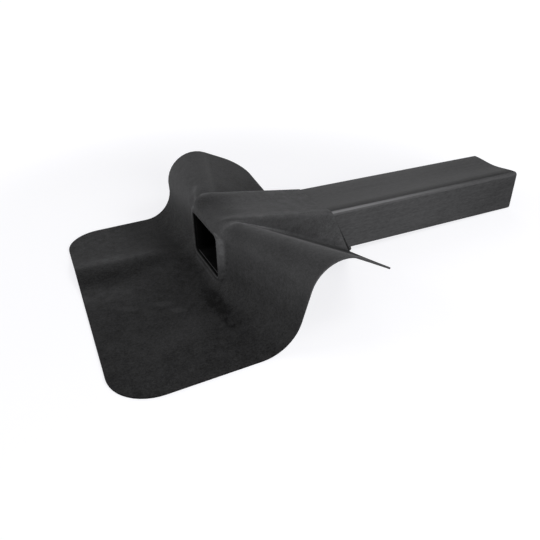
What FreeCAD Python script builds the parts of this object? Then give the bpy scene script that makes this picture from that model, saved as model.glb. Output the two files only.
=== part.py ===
import FreeCAD, Part
import os
from math import acos, asin, atan2, cos, hypot, pi, radians, sin

import Sketcher

# Parapet roof outlet: a moulded rubber flange whose apron lies on the roof, whose wings curl back,
# and whose collar is bonded round a rectangular outlet tube that runs out through the wall.
# X runs along the tube towards the outlet, Z is up, and the roof face is Z = 0.

Vector = FreeCAD.Vector

# Driving dimensions, in millimetres and degrees
SIZES = {
    # Outlet tube: its top wall sags, and it falls until its outlet's lower edge meets the roof face
    "tube_width": 100,
    "tube_height": 65,
    "tube_length": 535,
    "tube_wall": 3,
    "tube_corner": 5,
    "tube_sag": 3.5,
    "tube_fall": 1.4325,
    "mouth_setback": 10,
    # Mouth: a rubber lip stands before the tube's end and covers it up to the opening
    "lip_depth": 5,
    "opening_side": 3.2,
    "opening_edge": 1.4,
    "opening_corner": 5,
    # Rubber sheet: the apron ends where the sheet's bent sections begin
    "sheet_thick": 2.5,
    "sheet_half_width": 212,
    "apron_reach": 161,
    "apron_corner": 52,
    "apron_end": 45,
    # Bent section of the sheet beside the tube
    "root_offset": 50,
    "root_crest": 38,
    "root_peak": 94,
    "root_bend": 14,
    "root_curl": 18,
    "root_rise": 88,
    "root_drop": 27,
    "root_tail": 215,
    # Bent section at the front side edge
    "front_crest": 102,
    "front_peak": 106,
    "front_bend": 51,
    "front_curl": 45,
    "front_rise": 71.5,
    "front_drop": 31,
    "front_tail": 190,
    # Bent section at the back side edge, which is swept back less
    "back_crest": 73.5,
    "back_peak": 109,
    "back_bend": 48,
    "back_curl": 49,
    "back_rise": 95,
    "back_drop": 26,
    "back_tail": 190,
    # Ends of the wings, seen from above: each runs from the collar to a rounded outer corner
    "wing_root_end": 172,
    "front_shoulder": 147,
    "back_shoulder": 117,
    "wing_corner": 45,
    "trim_margin": 60,
    # Collar round the tube, in the tube's own frame: a ramp up from the mouth, a crest and a long taper
    "collar_wall": 3,
    "collar_crest": 16,
    "collar_peak": 88.5,
    "collar_curl": 10,
    "collar_top_end": 175,
    "collar_foot_end": 214,
    "trough_depth": 4.5,
    "trough_half": 31,
    "trough_slope": 5.6,
    "collar_edge": 6,
    "lip_edge": 2,
}

# Places on a sketch's geometry
START, END, CENTRE = 1, 2, 3
ORIGIN = (-1, 1)
AXIS_X = -1
AXIS_Y = -2

# Distance at which two places count as one, in millimetres
NEAR = 0.01


def make_sheet(doc):
    """Spreadsheet of the driving dimensions, one alias a row."""
    sheet = doc.addObject("Spreadsheet::Sheet", "Sizes")
    for row, (alias, value) in enumerate(SIZES.items(), start=1):
        sheet.set("A%d" % row, alias)
        sheet.set("B%d" % row, str(value))
        sheet.setAlias("B%d" % row, alias)
    doc.recompute()
    return sheet


def new_sketch(body, name, role):
    """An empty sketch on one of the body's own origin planes."""
    sketch = body.newObject("Sketcher::SketchObject", name)
    plane = next(feature for feature in body.Origin.OriginFeatures if feature.Role == role)
    sketch.AttachmentSupport = [(plane, "")]
    sketch.MapMode = "FlatFace"
    return sketch


def add_line(sketch, start, end):
    return sketch.addGeometry(Part.LineSegment(Vector(*start), Vector(*end)))


def add_arc(sketch, centre, radius, start, end):
    circle = Part.Circle(Vector(*centre), Vector(0, 0, 1), radius)
    return sketch.addGeometry(Part.ArcOfCircle(circle, start, end))


def constrain(sketch, kind, *places):
    sketch.addConstraint(Sketcher.Constraint(kind, *places))


def dimension(sketch, name, expression, kind, *places):
    """A named dimension of a sketch, bound to the spreadsheet."""
    value = float(sketch.evalExpression(expression))
    if kind == "Angle":
        value = radians(value)
    index = sketch.addConstraint(Sketcher.Constraint(kind, *places, value))
    sketch.renameConstraint(index, name)
    sketch.setExpression("Constraints." + name, expression)


def tube_outline(sketch, sizes, inset):
    """Rounded rectangle of the tube's section, its top wall sagging in one arc between the corners.

    The inset is a cell's name, or nothing for the tube's outer skin.
    """
    depth = getattr(sizes, inset) if inset else 0
    cut = " - Sizes.%s" % inset if inset else ""
    added = " + Sizes.%s" % inset if inset else ""
    tag = "inner_" if inset else "outer_"
    radius = sizes.tube_corner - depth
    centre_x = sizes.tube_width / 2 - sizes.tube_corner
    low = sizes.tube_corner
    high = sizes.tube_height - sizes.tube_corner
    span = "(Sizes.tube_width / 2 - Sizes.tube_corner)"
    sag_rule = "(%s^2 + Sizes.tube_sag^2) / (2 * Sizes.tube_sag) - Sizes.tube_corner%s" % (span, added)
    sag_radius = float(sketch.evalExpression(sag_rule))
    half_turn = asin(centre_x / (sag_radius + radius))
    sag_centre = high + (sag_radius + radius) * cos(half_turn)

    bottom = add_line(sketch, (-centre_x, depth), (centre_x, depth))
    corner_a = add_arc(sketch, (centre_x, low), radius, -pi / 2, 0)
    right = add_line(sketch, (centre_x + radius, low), (centre_x + radius, high))
    corner_b = add_arc(sketch, (centre_x, high), radius, 0, pi / 2 + half_turn)
    sag = add_arc(sketch, (0, sag_centre), sag_radius, -pi / 2 - half_turn, -pi / 2 + half_turn)
    corner_c = add_arc(sketch, (-centre_x, high), radius, pi / 2 - half_turn, pi)
    left = add_line(sketch, (-centre_x - radius, high), (-centre_x - radius, low))
    corner_d = add_arc(sketch, (-centre_x, low), radius, pi, 3 * pi / 2)

    constrain(sketch, "Tangent", bottom, END, corner_a, START)
    constrain(sketch, "Tangent", corner_a, END, right, START)
    constrain(sketch, "Tangent", right, END, corner_b, START)
    constrain(sketch, "Tangent", corner_b, END, sag, END)
    constrain(sketch, "Tangent", sag, START, corner_c, START)
    constrain(sketch, "Tangent", corner_c, END, left, START)
    constrain(sketch, "Tangent", left, END, corner_d, START)
    constrain(sketch, "Tangent", corner_d, END, bottom, START)
    for corner in (corner_b, corner_c, corner_d):
        constrain(sketch, "Equal", corner_a, corner)
    constrain(sketch, "Vertical", right)
    constrain(sketch, "Vertical", left)
    constrain(sketch, "PointOnObject", sag, CENTRE, AXIS_Y)
    constrain(sketch, "Symmetric", bottom, START, bottom, END, AXIS_Y)
    dimension(sketch, tag + "corner", "Sizes.tube_corner" + cut, "Radius", corner_a)
    dimension(sketch, tag + "half_width", span, "DistanceX", *ORIGIN, corner_a, CENTRE)
    dimension(sketch, tag + "foot", "Sizes.tube_corner", "DistanceY", *ORIGIN, corner_a, CENTRE)
    height_rule = "Sizes.tube_height - Sizes.tube_corner"
    dimension(sketch, tag + "height", height_rule, "DistanceY", *ORIGIN, corner_b, CENTRE)
    dimension(sketch, tag + "sag", sag_rule, "Radius", sag)


def follow_fall(feature, key, axis):
    """Turn a placement or attachment offset by the tube's fall, about the tube's mouth."""
    setattr(feature, key, FreeCAD.Placement(Vector(), FreeCAD.Rotation(axis, 1)))
    feature.setExpression(key + ".Rotation.Angle", "Sizes.tube_fall")


MOUTH_HEIGHT = "Sizes.tube_length * sin(Sizes.tube_fall * 1deg)"


def make_tube(doc, sizes):
    """Extruded tube, from behind the flange's lip down to its outlet."""
    body = doc.addObject("PartDesign::Body", "OutletTube")
    body.Label = "outlet_tube"
    section = new_sketch(body, "TubeSection", "YZ_Plane")
    section.setExpression("AttachmentOffset.Base.z", "Sizes.lip_depth")
    tube_outline(section, sizes, None)
    tube_outline(section, sizes, "tube_wall")
    pad = body.newObject("PartDesign::Pad", "TubeExtrusion")
    pad.Profile = section
    pad.setExpression("Length", "Sizes.tube_length - Sizes.lip_depth")
    follow_fall(body, "Placement", Vector(0, 1, 0))
    body.setExpression("Placement.Base.x", "Sizes.mouth_setback")
    body.setExpression("Placement.Base.z", MOUTH_HEIGHT)
    return body


def make_apron(body):
    """Flat apron on the roof, with rounded front corners."""
    sketch = new_sketch(body, "ApronOutline", "XY_Plane")
    reach = float(sketch.evalExpression("Sizes.apron_reach"))
    half = float(sketch.evalExpression("Sizes.sheet_half_width"))
    radius = float(sketch.evalExpression("Sizes.apron_corner"))
    end = float(sketch.evalExpression("Sizes.apron_end"))
    inner_x = radius - reach
    inner_y = half - radius
    edge = add_line(sketch, (-reach, inner_y), (-reach, -inner_y))
    corner_a = add_arc(sketch, (inner_x, -inner_y), radius, pi, 3 * pi / 2)
    side_a = add_line(sketch, (inner_x, -half), (-end, -half))
    back = add_line(sketch, (-end, -half), (-end, half))
    side_b = add_line(sketch, (-end, half), (inner_x, half))
    corner_b = add_arc(sketch, (inner_x, inner_y), radius, pi / 2, pi)
    constrain(sketch, "Tangent", edge, END, corner_a, START)
    constrain(sketch, "Tangent", corner_a, END, side_a, START)
    constrain(sketch, "Coincident", side_a, END, back, START)
    constrain(sketch, "Coincident", back, END, side_b, START)
    constrain(sketch, "Tangent", side_b, END, corner_b, START)
    constrain(sketch, "Tangent", corner_b, END, edge, START)
    constrain(sketch, "Equal", corner_a, corner_b)
    constrain(sketch, "Vertical", edge)
    constrain(sketch, "Horizontal", side_b)
    constrain(sketch, "Horizontal", side_a)
    constrain(sketch, "Symmetric", back, START, back, END, AXIS_X)
    dimension(sketch, "corner", "Sizes.apron_corner", "Radius", corner_a)
    dimension(sketch, "reach", "Sizes.apron_reach", "DistanceX", edge, START, *ORIGIN)
    dimension(sketch, "end", "Sizes.apron_end", "DistanceX", back, START, *ORIGIN)
    dimension(sketch, "width", "2 * Sizes.sheet_half_width", "DistanceY", back, START, back, END)
    pad = body.newObject("PartDesign::Pad", "Apron")
    pad.Profile = sketch
    pad.setExpression("Length", "Sizes.sheet_thick")


def draw_skin(sketch, sizes, edge, depth):
    """One skin of a bent section, tangent all along: floor, bend, rise, curl over and drop.

    The depth is how far the skin lies below the sheet's upper face.
    """
    crest, peak, bend, curl, rise, drop, tail = (
        getattr(sizes, "%s_%s" % (edge, key))
        for key in ("crest", "peak", "bend", "curl", "rise", "drop", "tail"))
    rise = radians(rise)
    drop = radians(drop)
    thick = sizes.sheet_thick
    climb = (peak - thick - (bend + curl) * (1 - cos(rise))) / sin(rise)
    foot_x = crest - (bend + curl) * sin(rise) - climb * cos(rise)
    foot_z = thick + bend
    curl_z = peak - curl
    bend += depth
    curl -= depth
    level = thick - depth
    drop_start = (crest + curl * sin(drop), curl_z + curl * cos(drop))
    drop_end = (tail, drop_start[1] - (tail - drop_start[0]) * sin(drop) / cos(drop))
    rise_start = (foot_x + bend * sin(rise), foot_z - bend * cos(rise))
    rise_end = (crest - curl * sin(rise), curl_z + curl * cos(rise))
    skin = {
        "floor": add_line(sketch, (-sizes.apron_end, level), (foot_x, level)),
        "bend": add_arc(sketch, (foot_x, foot_z), bend, -pi / 2, rise - pi / 2),
        "rise": add_line(sketch, rise_start, rise_end),
        "curl": add_arc(sketch, (crest, curl_z), curl, pi / 2 - drop, pi / 2 + rise),
        "drop": add_line(sketch, drop_start, drop_end),
        "nose_point": (-sizes.apron_end, level),
        "tail_point": drop_end,
    }
    constrain(sketch, "Tangent", skin["floor"], END, skin["bend"], START)
    constrain(sketch, "Tangent", skin["bend"], END, skin["rise"], START)
    constrain(sketch, "Tangent", skin["rise"], END, skin["curl"], END)
    constrain(sketch, "Tangent", skin["curl"], START, skin["drop"], START)
    constrain(sketch, "Horizontal", skin["floor"])
    return skin


def bent_section(body, sizes, name, edge, station):
    """Closed section of the sheet across one station of its width."""
    sketch = new_sketch(body, name, "XZ_Plane")
    sketch.setExpression("AttachmentOffset.Base.z", station)
    upper = draw_skin(sketch, sizes, edge, 0)
    lower = draw_skin(sketch, sizes, edge, sizes.sheet_thick)
    nose = add_line(sketch, upper["nose_point"], lower["nose_point"])
    tail = add_line(sketch, upper["tail_point"], lower["tail_point"])
    constrain(sketch, "Coincident", upper["floor"], START, nose, START)
    constrain(sketch, "Coincident", lower["floor"], START, nose, END)
    constrain(sketch, "Coincident", upper["drop"], END, tail, START)
    constrain(sketch, "Coincident", lower["drop"], END, tail, END)
    constrain(sketch, "Coincident", upper["bend"], CENTRE, lower["bend"], CENTRE)
    constrain(sketch, "Coincident", upper["curl"], CENTRE, lower["curl"], CENTRE)
    constrain(sketch, "Parallel", upper["drop"], lower["drop"])
    constrain(sketch, "Vertical", nose)
    constrain(sketch, "Vertical", tail)
    constrain(sketch, "PointOnObject", nose, END, AXIS_X)
    cell = "Sizes.%s_" % edge
    dimension(sketch, "apron_end", "Sizes.apron_end", "DistanceX", nose, END, *ORIGIN)
    dimension(sketch, "bend", cell + "bend", "Radius", upper["bend"])
    dimension(sketch, "bend_under", cell + "bend + Sizes.sheet_thick", "Radius", lower["bend"])
    dimension(sketch, "curl", cell + "curl", "Radius", upper["curl"])
    dimension(sketch, "curl_under", cell + "curl - Sizes.sheet_thick", "Radius", lower["curl"])
    dimension(sketch, "crest", cell + "crest", "DistanceX", *ORIGIN, upper["curl"], CENTRE)
    curl_height = "%speak - %scurl" % (cell, cell)
    dimension(sketch, "peak", curl_height, "DistanceY", *ORIGIN, upper["curl"], CENTRE)
    dimension(sketch, "rise", cell + "rise", "Angle", upper["rise"])
    dimension(sketch, "drop", "-%sdrop" % cell, "Angle", upper["drop"])
    dimension(sketch, "tail", cell + "tail", "DistanceX", *ORIGIN, tail, START)
    return sketch


def make_wings(body, sizes):
    """Bent part of the sheet, drawn straight from one section to the next across its width."""
    front = bent_section(body, sizes, "FrontEdgeSection", "front", "Sizes.sheet_half_width")
    front_root = bent_section(body, sizes, "FrontRootSection", "root", "Sizes.root_offset")
    back_root = bent_section(body, sizes, "BackRootSection", "root", "-Sizes.root_offset")
    back = bent_section(body, sizes, "BackEdgeSection", "back", "-Sizes.sheet_half_width")
    loft = body.newObject("PartDesign::AdditiveLoft", "Wings")
    loft.Profile = front
    loft.Sections = [front_root, back_root, back]
    loft.Ruled = True


def wing_end(sketch, sizes, edge, side):
    """End of one wing from above: a line from its root, tangent to the rounded outer corner."""
    half = sizes.sheet_half_width
    radius = sizes.wing_corner
    shoulder = getattr(sizes, edge + "_shoulder")
    centre_y = half - radius
    away_x = sizes.wing_root_end - shoulder
    away_y = sizes.root_offset - centre_y
    touch = atan2(away_y, away_x) + acos(radius / hypot(away_x, away_y))
    touch_point = (shoulder + radius * cos(touch), side * (centre_y + radius * sin(touch)))
    root_point = (sizes.wing_root_end, side * sizes.root_offset)
    outer_point = (shoulder, side * (half + sizes.trim_margin))
    touch_end, shoulder_end = (START, END) if side > 0 else (END, START)
    end = add_line(sketch, root_point, touch_point)
    corner = add_arc(sketch, (shoulder, side * centre_y), radius, *sorted((side * touch, side * pi / 2)))
    wall = add_line(sketch, (shoulder, side * half), outer_point)
    constrain(sketch, "Tangent", end, END, corner, touch_end)
    constrain(sketch, "Coincident", corner, shoulder_end, wall, START)
    constrain(sketch, "Vertical", wall)
    constrain(sketch, "PointOnObject", corner, CENTRE, wall)
    dimension(sketch, edge + "_corner", "Sizes.wing_corner", "Radius", corner)
    dimension(sketch, edge + "_shoulder", "Sizes.%s_shoulder" % edge, "DistanceX", *ORIGIN, wall, START)
    edge_span = (*ORIGIN, wall, START) if side > 0 else (wall, START, *ORIGIN)
    dimension(sketch, edge + "_half", "Sizes.sheet_half_width", "DistanceY", *edge_span)
    wall_span = (wall, START, wall, END) if side > 0 else (wall, END, wall, START)
    dimension(sketch, edge + "_margin", "Sizes.trim_margin", "DistanceY", *wall_span)
    return end, wall


def trim_wings(body, sizes):
    """Cut both wings to their outline from above."""
    sketch = new_sketch(body, "WingEnds", "XY_Plane")
    outer = sizes.sheet_half_width + sizes.trim_margin
    far = sizes.wing_root_end + sizes.trim_margin
    front_end, front_wall = wing_end(sketch, sizes, "front", -1)
    back_end, back_wall = wing_end(sketch, sizes, "back", 1)
    root_points = [(sizes.wing_root_end, side * sizes.root_offset) for side in (-1, 1)]
    root = add_line(sketch, *root_points)
    front_out = add_line(sketch, (sizes.front_shoulder, -outer), (far, -outer))
    far_line = add_line(sketch, (far, -outer), (far, outer))
    back_out = add_line(sketch, (far, outer), (sizes.back_shoulder, outer))
    constrain(sketch, "Coincident", root, START, front_end, START)
    constrain(sketch, "Coincident", root, END, back_end, START)
    constrain(sketch, "Coincident", front_wall, END, front_out, START)
    constrain(sketch, "Coincident", front_out, END, far_line, START)
    constrain(sketch, "Coincident", far_line, END, back_out, START)
    constrain(sketch, "Coincident", back_out, END, back_wall, END)
    constrain(sketch, "Symmetric", root, START, root, END, AXIS_X)
    constrain(sketch, "Horizontal", front_out)
    constrain(sketch, "Horizontal", back_out)
    constrain(sketch, "Vertical", far_line)
    dimension(sketch, "root_end", "Sizes.wing_root_end", "DistanceX", *ORIGIN, root, START)
    dimension(sketch, "root_width", "2 * Sizes.root_offset", "DistanceY", root, START, root, END)
    far_rule = "Sizes.wing_root_end + Sizes.trim_margin"
    dimension(sketch, "far", far_rule, "DistanceX", *ORIGIN, far_line, START)
    pocket = body.newObject("PartDesign::Pocket", "WingTrim")
    pocket.Profile = sketch
    pocket.Type = "ThroughAll"
    pocket.Midplane = True


def make_collar(body, sizes):
    """Collar in the tube's frame: a lip round the mouth, a ramp up to a crest and a taper down the tube."""
    sketch = new_sketch(body, "CollarProfile", "XZ_Plane")
    follow_fall(sketch, "AttachmentOffset", Vector(0, 0, -1))
    sketch.setExpression("AttachmentOffset.Base.x", "Sizes.mouth_setback")
    sketch.setExpression("AttachmentOffset.Base.y", MOUTH_HEIGHT)
    wall = sizes.collar_wall
    lip_top = sizes.tube_height + wall
    centre = (sizes.collar_crest, sizes.collar_peak - sizes.collar_curl)
    curl = sizes.collar_curl
    ramp_turn = asin(curl / hypot(centre[0], centre[1] - lip_top))
    ramp = atan2(centre[1] - lip_top, centre[0]) + ramp_turn
    taper_run = sizes.collar_top_end - centre[0]
    taper_turn = asin(curl / hypot(taper_run, centre[1] - lip_top))
    taper = atan2(centre[1] - lip_top, taper_run) + taper_turn
    ramp_top = (centre[0] - curl * sin(ramp), centre[1] + curl * cos(ramp))
    taper_top = (centre[0] + curl * sin(taper), centre[1] + curl * cos(taper))
    front = add_line(sketch, (0, -wall), (0, lip_top))
    ramp_line = add_line(sketch, (0, lip_top), ramp_top)
    crest = add_arc(sketch, centre, curl, pi / 2 - taper, pi / 2 + ramp)
    taper_line = add_line(sketch, taper_top, (sizes.collar_top_end, lip_top))
    end = add_line(sketch, (sizes.collar_top_end, lip_top), (sizes.collar_foot_end, -wall))
    bottom = add_line(sketch, (sizes.collar_foot_end, -wall), (0, -wall))
    constrain(sketch, "Coincident", front, END, ramp_line, START)
    constrain(sketch, "Tangent", ramp_line, END, crest, END)
    constrain(sketch, "Tangent", crest, START, taper_line, START)
    constrain(sketch, "Coincident", taper_line, END, end, START)
    constrain(sketch, "Coincident", end, END, bottom, START)
    constrain(sketch, "Coincident", bottom, END, front, START)
    constrain(sketch, "Vertical", front)
    constrain(sketch, "Horizontal", bottom)
    constrain(sketch, "PointOnObject", front, START, AXIS_Y)
    lip_rule = "Sizes.tube_height + Sizes.collar_wall"
    dimension(sketch, "foot", "Sizes.collar_wall", "DistanceY", front, START, *ORIGIN)
    dimension(sketch, "lip_top", lip_rule, "DistanceY", *ORIGIN, front, END)
    dimension(sketch, "crest", "Sizes.collar_crest", "DistanceX", *ORIGIN, crest, CENTRE)
    dimension(sketch, "peak", "Sizes.collar_peak - Sizes.collar_curl", "DistanceY", *ORIGIN, crest, CENTRE)
    dimension(sketch, "curl", "Sizes.collar_curl", "Radius", crest)
    dimension(sketch, "top_end", "Sizes.collar_top_end", "DistanceX", *ORIGIN, end, START)
    dimension(sketch, "end_top", lip_rule, "DistanceY", *ORIGIN, end, START)
    dimension(sketch, "foot_end", "Sizes.collar_foot_end", "DistanceX", *ORIGIN, end, END)
    pad = body.newObject("PartDesign::Pad", "Collar")
    pad.Profile = sketch
    pad.Midplane = True
    pad.setExpression("Length", "Sizes.tube_width + 2 * Sizes.collar_wall")


def cut_trough(body):
    """Shallow trough along the collar's top, deepest behind its crest."""
    sketch = new_sketch(body, "TroughSection", "YZ_Plane")
    sketch.AttachmentOffset = FreeCAD.Placement(Vector(), FreeCAD.Rotation(Vector(1, 0, 0), 1))
    slope = "(Sizes.tube_fall + Sizes.trough_slope)"
    sketch.setExpression("AttachmentOffset.Rotation.Angle", slope)
    lip = "(Sizes.tube_height + Sizes.collar_wall)"
    taper_top = "(%s + Sizes.collar_top_end * tan(Sizes.trough_slope * 1deg))" % lip
    sketch.setExpression("AttachmentOffset.Base.z", "Sizes.mouth_setback")
    sketch.setExpression("AttachmentOffset.Base.y", "%s + %s" % (MOUTH_HEIGHT, taper_top))
    radius = "(Sizes.trough_half^2 + Sizes.trough_depth^2) / (2 * Sizes.trough_depth)"
    size = float(sketch.evalExpression(radius))
    centre_y = float(sketch.evalExpression("%s - Sizes.trough_depth" % radius))
    circle = sketch.addGeometry(Part.Circle(Vector(0, centre_y), Vector(0, 0, 1), size))
    constrain(sketch, "PointOnObject", circle, CENTRE, AXIS_Y)
    dimension(sketch, "radius", radius, "Radius", circle)
    dimension(sketch, "height", "%s - Sizes.trough_depth" % radius, "DistanceY", *ORIGIN, circle, CENTRE)
    pocket = body.newObject("PartDesign::Pocket", "CollarTrough")
    pocket.Profile = sketch
    pocket.Type = "ThroughAll"
    pocket.Reversed = True
    return pocket


def collar_edges(doc, feature, chosen):
    """Names of a feature's edges whose ends and middle pass a test, in the tube's frame."""
    doc.recompute()
    to_tube = doc.OutletTube.Placement.inverse()
    names = []
    for number, edge in enumerate(feature.Shape.Edges, start=1):
        middle = (edge.FirstParameter + edge.LastParameter) / 2
        points = [vertex.Point for vertex in edge.Vertexes] + [edge.valueAt(middle)]
        faces = feature.Shape.ancestorsOfType(edge, Part.Face)
        reach = max(max(abs(face.BoundBox.YMin), face.BoundBox.YMax) for face in faces)
        if chosen([to_tube.multVec(point) for point in points], reach):
            names.append("Edge%d" % number)
    return names


def round_collar(doc, body, sizes, feature):
    """Round the collar's two long upper edges, then the outer edges of its lip."""
    side = sizes.tube_width / 2 + sizes.collar_wall
    lip_top = sizes.tube_height + sizes.collar_wall

    def along_top(points, reach):
        on_side = all(abs(abs(point.y) - side) < NEAR for point in points)
        return on_side and reach < side + NEAR and min(point.z for point in points) > lip_top - NEAR

    def around_lip(points, reach):
        return all(abs(point.x) < NEAR for point in points)

    roundings = (("CollarEdges", "collar_edge", along_top), ("LipEdges", "lip_edge", around_lip))
    for name, cell, chosen in roundings:
        edges = collar_edges(doc, feature, chosen)
        rounded = body.newObject("PartDesign::Fillet", name)
        rounded.Base = (feature, edges)
        rounded.setExpression("Radius", "Sizes." + cell)
        feature = rounded


def across_tube(body, name, along):
    """An empty sketch square across the tube, some way along it from the mouth."""
    sketch = new_sketch(body, name, "YZ_Plane")
    follow_fall(sketch, "AttachmentOffset", Vector(1, 0, 0))
    run = "%s * cos(Sizes.tube_fall * 1deg)" % along
    fall = "%s * sin(Sizes.tube_fall * 1deg)" % along
    sketch.setExpression("AttachmentOffset.Base.z", "Sizes.mouth_setback + " + run)
    sketch.setExpression("AttachmentOffset.Base.y", "%s - %s" % (MOUTH_HEIGHT, fall))
    return sketch


def cut_opening(body, sizes):
    """Opening of the mouth through the lip, a little smaller than the tube."""
    sketch = across_tube(body, "OpeningSection", "0")
    radius = sizes.opening_corner
    inner_x = sizes.tube_width / 2 - sizes.opening_side - radius
    low = sizes.opening_edge + radius
    high = sizes.tube_height - sizes.opening_edge - radius
    bottom = add_line(sketch, (-inner_x, low - radius), (inner_x, low - radius))
    corner_a = add_arc(sketch, (inner_x, low), radius, -pi / 2, 0)
    right = add_line(sketch, (inner_x + radius, low), (inner_x + radius, high))
    corner_b = add_arc(sketch, (inner_x, high), radius, 0, pi / 2)
    top = add_line(sketch, (inner_x, high + radius), (-inner_x, high + radius))
    corner_c = add_arc(sketch, (-inner_x, high), radius, pi / 2, pi)
    left = add_line(sketch, (-inner_x - radius, high), (-inner_x - radius, low))
    corner_d = add_arc(sketch, (-inner_x, low), radius, pi, 3 * pi / 2)
    sides = (bottom, corner_a, right, corner_b, top, corner_c, left, corner_d)
    for side, following in zip(sides, sides[1:] + sides[:1]):
        constrain(sketch, "Tangent", side, END, following, START)
    for corner in (corner_b, corner_c, corner_d):
        constrain(sketch, "Equal", corner_a, corner)
    constrain(sketch, "Horizontal", top)
    constrain(sketch, "Vertical", right)
    constrain(sketch, "Vertical", left)
    constrain(sketch, "Symmetric", bottom, START, bottom, END, AXIS_Y)
    width_rule = "Sizes.tube_width - 2 * Sizes.opening_side"
    height_rule = "Sizes.tube_height - 2 * Sizes.opening_edge"
    dimension(sketch, "corner", "Sizes.opening_corner", "Radius", corner_a)
    dimension(sketch, "width", width_rule, "DistanceX", left, END, right, START)
    dimension(sketch, "foot", "Sizes.opening_edge", "DistanceY", *ORIGIN, bottom, START)
    dimension(sketch, "height", height_rule, "DistanceY", bottom, END, top, START)
    pocket = body.newObject("PartDesign::Pocket", "MouthOpening")
    pocket.Profile = sketch
    pocket.setExpression("Length", "Sizes.lip_depth")
    pocket.Reversed = True


def cut_seat(body, sizes):
    """Seat of the tube, from behind the lip right through the collar."""
    sketch = across_tube(body, "SeatSection", "Sizes.lip_depth")
    tube_outline(sketch, sizes, None)
    pocket = body.newObject("PartDesign::Pocket", "TubeSeat")
    pocket.Profile = sketch
    pocket.Type = "ThroughAll"
    pocket.Reversed = True


def make_flange(doc, sizes):
    """Moulded rubber flange: apron, wings and collar in one piece."""
    body = doc.addObject("PartDesign::Body", "Flange")
    body.Label = "flange"
    make_apron(body)
    make_wings(body, sizes)
    trim_wings(body, sizes)
    make_collar(body, sizes)
    trough = cut_trough(body)
    round_collar(doc, body, sizes, trough)
    cut_opening(body, sizes)
    cut_seat(body, sizes)
    return body


def check(doc, bodies):
    """Stop on a failed object, a loose sketch, a pocket that cuts nothing or a broken solid."""
    for part in doc.Objects:
        if "Invalid" in part.State or "Error" in part.State:
            raise RuntimeError("%s failed: %s" % (part.Name, part.State))
        if part.TypeId == "Sketcher::SketchObject" and not part.FullyConstrained:
            raise RuntimeError("%s is not fully constrained" % part.Name)
        if part.TypeId == "PartDesign::Pocket" and part.Shape.Volume >= part.BaseFeature.Shape.Volume:
            raise RuntimeError("%s cuts nothing" % part.Name)
    for body in bodies:
        if body.Shape.isNull() or not body.Shape.isValid() or len(body.Shape.Solids) != 1:
            raise RuntimeError("%s is not one valid solid" % body.Label)


def main():
    os.makedirs("parts", exist_ok=True)
    doc = FreeCAD.newDocument("RoofOutlet")
    sizes = make_sheet(doc)
    bodies = [make_tube(doc, sizes), make_flange(doc, sizes)]
    doc.recompute()
    check(doc, bodies)
    for body in bodies:
        body.Shape.exportStep("parts/%s.step" % body.Label)
        print(body.Label, "%.0f mm3" % body.Shape.Volume, body.Shape.BoundBox)


main()
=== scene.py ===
from math import acos, asin, atan2, cos, exp, hypot, pi, radians, sin, tan

import bmesh
import bpy
import numpy as np
from mathutils import Matrix, Vector


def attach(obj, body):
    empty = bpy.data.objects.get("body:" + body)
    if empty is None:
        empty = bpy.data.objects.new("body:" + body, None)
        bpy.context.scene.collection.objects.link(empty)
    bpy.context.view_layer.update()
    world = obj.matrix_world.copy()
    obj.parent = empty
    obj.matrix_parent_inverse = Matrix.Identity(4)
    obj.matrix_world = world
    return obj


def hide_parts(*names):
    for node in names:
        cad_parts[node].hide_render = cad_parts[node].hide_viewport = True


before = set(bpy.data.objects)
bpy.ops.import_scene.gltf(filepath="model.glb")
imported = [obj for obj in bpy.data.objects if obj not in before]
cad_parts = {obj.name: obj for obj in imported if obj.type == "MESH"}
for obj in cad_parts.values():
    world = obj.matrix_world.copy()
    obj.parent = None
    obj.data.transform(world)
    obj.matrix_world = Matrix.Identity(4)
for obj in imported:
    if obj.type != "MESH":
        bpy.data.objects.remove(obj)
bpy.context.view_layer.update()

# A parapet roof outlet: a soft rubber flange moulded in one piece, bonded round a rectangular tube.
# Sizes are in millimetres in the part's own frame: X along the tube, Z up, the roof face at Z = 0.
# The front side is towards -Y. Pairs given to smooth() are start and end, to bell() middle and width.
MM = 0.001

# Outlet tube
TUBE_WIDTH = 100
TUBE_HEIGHT = 65
TUBE_LENGTH = 535
TUBE_WALL = 3
TUBE_CORNER = 5
TUBE_SAG = 3.5
TUBE_FALL = radians(1.4325)
TUBE_START = 5.3
MOUTH_X = 10
MOUTH_Z = TUBE_LENGTH * sin(TUBE_FALL)

# Rubber sheet
SHEET = 2.5
HALF_WIDTH = 212
APRON_REACH = 161
APRON_CORNER = 52
ROOT_OFFSET = 50
FRONT_ROOT_END = 216
BACK_ROOT_END = 165
FRONT_SHOULDER = 149
BACK_SHOULDER = 126
WING_CORNER = 34
NOOK_START = 51.2
NOOK_WIDTH = 14
NOOK_END = 216
EDGE_BULGE = 0.9
BULGE_FROM = (55, 70)
EDGE_SKEW = 0.0225

# Low ridge of the apron; it grows, and its front slope widens, towards the apron's front edge
RIDGE_START = 69
RIDGE_SLOPE = -0.06
RIDGE_HEIGHT = 7
RIDGE_RISES = (-5, 70)
RIDGE_FRONT = (6, 34)
RIDGE_WIDENS = (20, 120)
RIDGE_BACK = 42

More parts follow.
